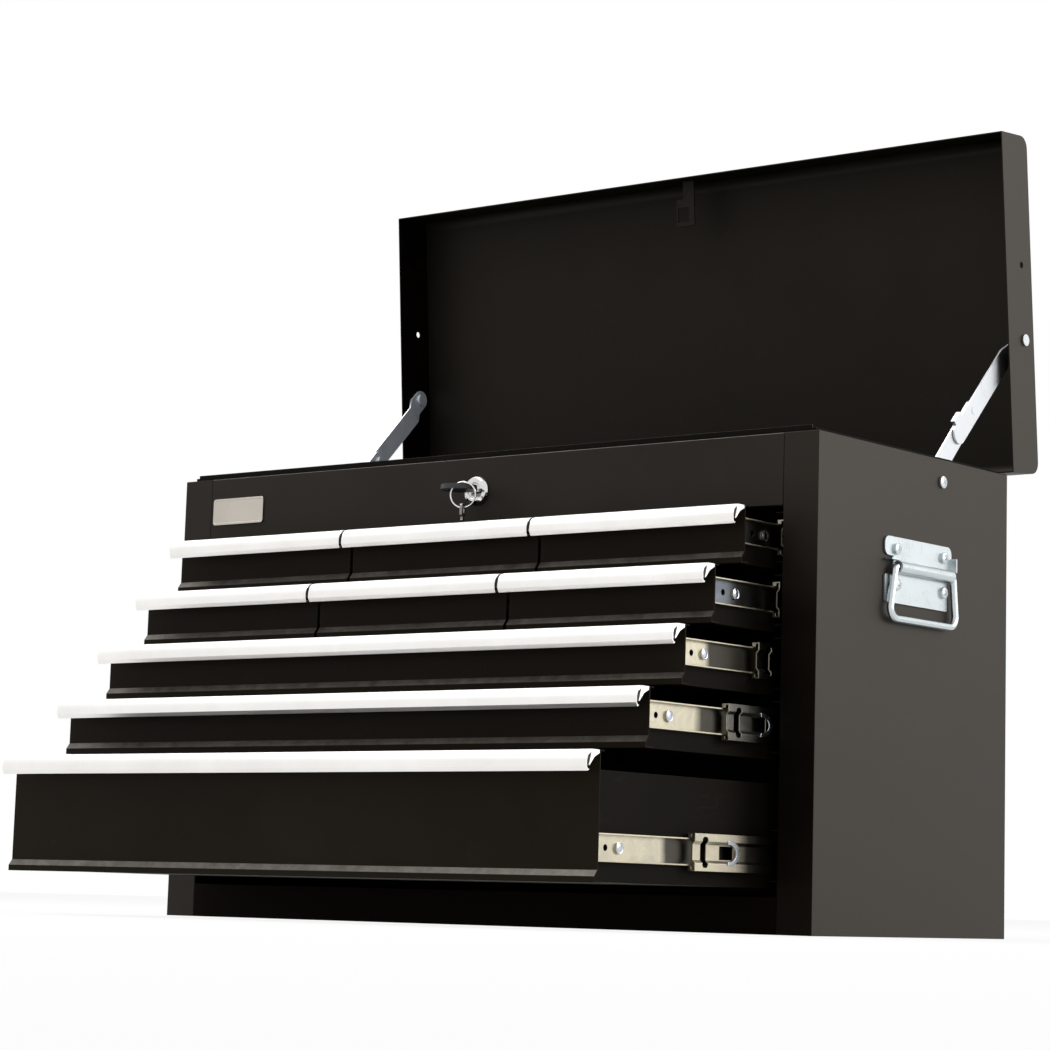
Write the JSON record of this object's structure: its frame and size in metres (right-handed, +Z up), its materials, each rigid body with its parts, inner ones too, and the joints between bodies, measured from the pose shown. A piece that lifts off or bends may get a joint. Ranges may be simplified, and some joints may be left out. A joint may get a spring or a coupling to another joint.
{
  "type": "tool chest",
  "caption": "Steel tool chest with a lift-up lid over a top tray, rows of drawers on telescopic slides, full-width metal pulls, a key lock and drop handles.",
  "frame": {"origin": "centre of the cabinet's footprint, on the face that it stands on", "axes": "+X to the chest's right as seen from behind it (the viewer's right, facing the drawers), drawer fronts towards -Y, +Z up"},
  "size_m": [0.6186, 0.5071, 0.6031],
  "materials": {
    "black_paint": "satin black powder coat with a fine texture",
    "runner_black": "matt black",
    "zinc": "bright zinc plate",
    "aluminium": "satin anodised",
    "chrome": "polished",
    "key_plastic": "moulded black"
  },
  "bodies": {
    "cabinet": {"side_panel_left": "black_paint", "side_panel_right": "black_paint", "back_panel": "black_paint", "bottom_panel": "black_paint", "till_tray": "black_paint", "fascia": "black_paint", "rail_bank_left": "runner_black", "rail_bank_right": "runner_black", "divider_left": "runner_black", "divider_right": "runner_black", "hinge_pin": "zinc", "handle_bracket_left": "zinc", "handle_bracket_right": "zinc", "lock_body": "chrome"},
    "lid": {"lid": "black_paint", "latch_loop": "black_paint"},
    "stay_lower_left": {"stay_lower_left": "zinc"},
    "stay_upper_left": {"stay_upper_left": "zinc"},
    "stay_lower_right": {"stay_lower_right": "zinc"},
    "stay_upper_right": {"stay_upper_right": "zinc"},
    "drawer_1_left": {"drawer_1_left": "black_paint", "pull_1_left": "aluminium"},
    "runner_1_left": {"middle_rail_1_left_left": "zinc", "middle_rail_1_left_right": "zinc"},
    "drawer_1_centre": {"drawer_1_centre": "black_paint", "pull_1_centre": "aluminium"},
    "runner_1_centre": {"middle_rail_1_centre_left": "zinc", "middle_rail_1_centre_right": "zinc"},
    "drawer_1_right": {"drawer_1_right": "black_paint", "pull_1_right": "aluminium"},
    "runner_1_right": {"middle_rail_1_right_left": "zinc", "middle_rail_1_right_right": "zinc"},
    "drawer_2_left": {"drawer_2_left": "black_paint", "pull_2_left": "aluminium"},
    "runner_2_left": {"middle_rail_2_left_left": "zinc", "middle_rail_2_left_right": "zinc"},
    "drawer_2_centre": {"drawer_2_centre": "black_paint", "pull_2_centre": "aluminium"},
    "runner_2_centre": {"middle_rail_2_centre_left": "zinc", "middle_rail_2_centre_right": "zinc"},
    "drawer_2_right": {"drawer_2_right": "black_paint", "pull_2_right": "aluminium"},
    "runner_2_right": {"middle_rail_2_right_left": "zinc", "middle_rail_2_right_right": "zinc"},
    "drawer_3_wide": {"drawer_3_wide": "black_paint", "pull_3_wide": "aluminium"},
    "runner_3_wide": {"middle_rail_3_wide_left": "zinc", "middle_rail_3_wide_right": "zinc"},
    "drawer_4_wide": {"drawer_4_wide": "black_paint", "pull_4_wide": "aluminium"},
    "runner_4_wide": {"middle_rail_4_wide_left": "zinc", "middle_rail_4_wide_right": "zinc"},
    "drawer_5_wide": {"drawer_5_wide": "black_paint", "pull_5_wide": "aluminium"},
    "runner_5_wide": {"middle_rail_5_wide_left": "zinc", "middle_rail_5_wide_right": "zinc"},
    "bail_left": {"handle_bail_left": "zinc"},
    "bail_right": {"handle_bail_right": "zinc"},
    "key": {"lock_key": "key_plastic"},
    "ring": {"key_ring": "chrome"}
  },
  "joints": [
    {"name": "lid_hinge", "type": "hinge", "parent": "cabinet", "child": "lid", "pos_m": [0, 0.1332, 0.3372], "axis": [1, 0, 0], "range_deg": [0, 85.33]},
    {"name": "stay_lower_turn_left", "type": "hinge", "parent": "cabinet", "child": "stay_lower_left", "pos_m": [-0.29, 0.0335, 0.3235], "axis": [1, 0, 0], "range_deg": [0, 133.49]},
    {"name": "stay_upper_turn_left", "type": "hinge", "parent": "lid", "child": "stay_upper_left", "pos_m": [-0.298, 0.151, 0.44601], "axis": [1, 0, 0], "range_deg": [-102.66, 0]},
    {"name": "stay_lower_turn_right", "type": "hinge", "parent": "cabinet", "child": "stay_lower_right", "pos_m": [0.29, 0.0335, 0.3235], "axis": [1, 0, 0], "range_deg": [0, 133.49]},
    {"name": "stay_upper_turn_right", "type": "hinge", "parent": "lid", "child": "stay_upper_right", "pos_m": [0.298, 0.151, 0.44601], "axis": [1, 0, 0], "range_deg": [-102.66, 0]},
    {"name": "drawer_slide_1_left", "type": "slide", "parent": "cabinet", "child": "drawer_1_left", "axis": [0, -1, 0], "range_m": [-0.0363, 0.1687]},
    {"name": "runner_slide_1_left", "type": "slide", "parent": "cabinet", "child": "runner_1_left", "axis": [0, -1, 0], "range_m": [-0.01816, 0.08436]},
    {"name": "drawer_slide_1_centre", "type": "slide", "parent": "cabinet", "child": "drawer_1_centre", "axis": [0, -1, 0], "range_m": [-0.0363, 0.1687]},
    {"name": "runner_slide_1_centre", "type": "slide", "parent": "cabinet", "child": "runner_1_centre", "axis": [0, -1, 0], "range_m": [-0.01816, 0.08436]},
    {"name": "drawer_slide_1_right", "type": "slide", "parent": "cabinet", "child": "drawer_1_right", "axis": [0, -1, 0], "range_m": [-0.0363, 0.1687]},
    {"name": "runner_slide_1_right", "type": "slide", "parent": "cabinet", "child": "runner_1_right", "axis": [0, -1, 0], "range_m": [-0.01816, 0.08436]},
    {"name": "drawer_slide_2_left", "type": "slide", "parent": "cabinet", "child": "drawer_2_left", "axis": [0, -1, 0], "range_m": [-0.0698, 0.1352]},
    {"name": "runner_slide_2_left", "type": "slide", "parent": "cabinet", "child": "runner_2_left", "axis": [0, -1, 0], "range_m": [-0.03491, 0.06761]},
    {"name": "drawer_slide_2_centre", "type": "slide", "parent": "cabinet", "child": "drawer_2_centre", "axis": [0, -1, 0], "range_m": [-0.0698, 0.1352]},
    {"name": "runner_slide_2_centre", "type": "slide", "parent": "cabinet", "child": "runner_2_centre", "axis": [0, -1, 0], "range_m": [-0.03491, 0.06761]},
    {"name": "drawer_slide_2_right", "type": "slide", "parent": "cabinet", "child": "drawer_2_right", "axis": [0, -1, 0], "range_m": [-0.0698, 0.1352]},
    {"name": "runner_slide_2_right", "type": "slide", "parent": "cabinet", "child": "runner_2_right", "axis": [0, -1, 0], "range_m": [-0.03491, 0.06761]},
    {"name": "drawer_slide_3_wide", "type": "slide", "parent": "cabinet", "child": "drawer_3_wide", "axis": [0, -1, 0], "range_m": [-0.1047, 0.1003]},
    {"name": "runner_slide_3_wide", "type": "slide", "parent": "cabinet", "child": "runner_3_wide", "axis": [0, -1, 0], "range_m": [-0.05236, 0.05016]},
    {"name": "drawer_slide_4_wide", "type": "slide", "parent": "cabinet", "child": "drawer_4_wide", "axis": [0, -1, 0], "range_m": [-0.1425, 0.0625]},
    {"name": "runner_slide_4_wide", "type": "slide", "parent": "cabinet", "child": "runner_4_wide", "axis": [0, -1, 0], "range_m": [-0.07126, 0.03126]},
    {"name": "drawer_slide_5_wide", "type": "slide", "parent": "cabinet", "child": "drawer_5_wide", "axis": [0, -1, 0], "range_m": [-0.193, 0.012]},
    {"name": "runner_slide_5_wide", "type": "slide", "parent": "cabinet", "child": "runner_5_wide", "axis": [0, -1, 0], "range_m": [-0.09651, 0.00601]},
    {"name": "bail_swing_left", "type": "hinge", "parent": "cabinet", "child": "bail_left", "pos_m": [-0.3048, 0, 0.2555], "axis": [0, 1, 0], "range_deg": [0, 90]},
    {"name": "bail_swing_right", "type": "hinge", "parent": "cabinet", "child": "bail_right", "pos_m": [0.3048, 0, 0.2555], "axis": [0, -1, 0], "range_deg": [0, 90]},
    {"name": "key_turn", "type": "hinge", "parent": "cabinet", "child": "key", "pos_m": [0, -0.1311, 0.3153], "axis": [0, -1, 0], "range_deg": [0, 90]},
    {"name": "ring_swing", "type": "hinge", "parent": "key", "child": "ring", "pos_m": [0.01044, -0.15568, 0.3153], "axis": [0, -1, 0], "range_deg": [-90.01, 0]}
  ],
  "couplings": [
    {"joint": "stay_lower_turn_left", "follows": "lid_hinge", "ratio": 1.5643},
    {"joint": "stay_upper_turn_left", "follows": "lid_hinge", "ratio": -1.2029},
    {"joint": "stay_lower_turn_right", "follows": "lid_hinge", "ratio": 1.5643},
    {"joint": "stay_upper_turn_right", "follows": "lid_hinge", "ratio": -1.2029},
    {"joint": "runner_slide_1_left", "follows": "drawer_slide_1_left", "ratio": 0.5},
    {"joint": "runner_slide_1_centre", "follows": "drawer_slide_1_centre", "ratio": 0.5},
    {"joint": "runner_slide_1_right", "follows": "drawer_slide_1_right", "ratio": 0.5},
    {"joint": "runner_slide_2_left", "follows": "drawer_slide_2_left", "ratio": 0.5},
    {"joint": "runner_slide_2_centre", "follows": "drawer_slide_2_centre", "ratio": 0.5},
    {"joint": "runner_slide_2_right", "follows": "drawer_slide_2_right", "ratio": 0.5},
    {"joint": "runner_slide_3_wide", "follows": "drawer_slide_3_wide", "ratio": 0.5},
    {"joint": "runner_slide_4_wide", "follows": "drawer_slide_4_wide", "ratio": 0.5},
    {"joint": "runner_slide_5_wide", "follows": "drawer_slide_5_wide", "ratio": 0.5},
    {"joint": "ring_swing", "follows": "key_turn", "ratio": -1}
  ]
}
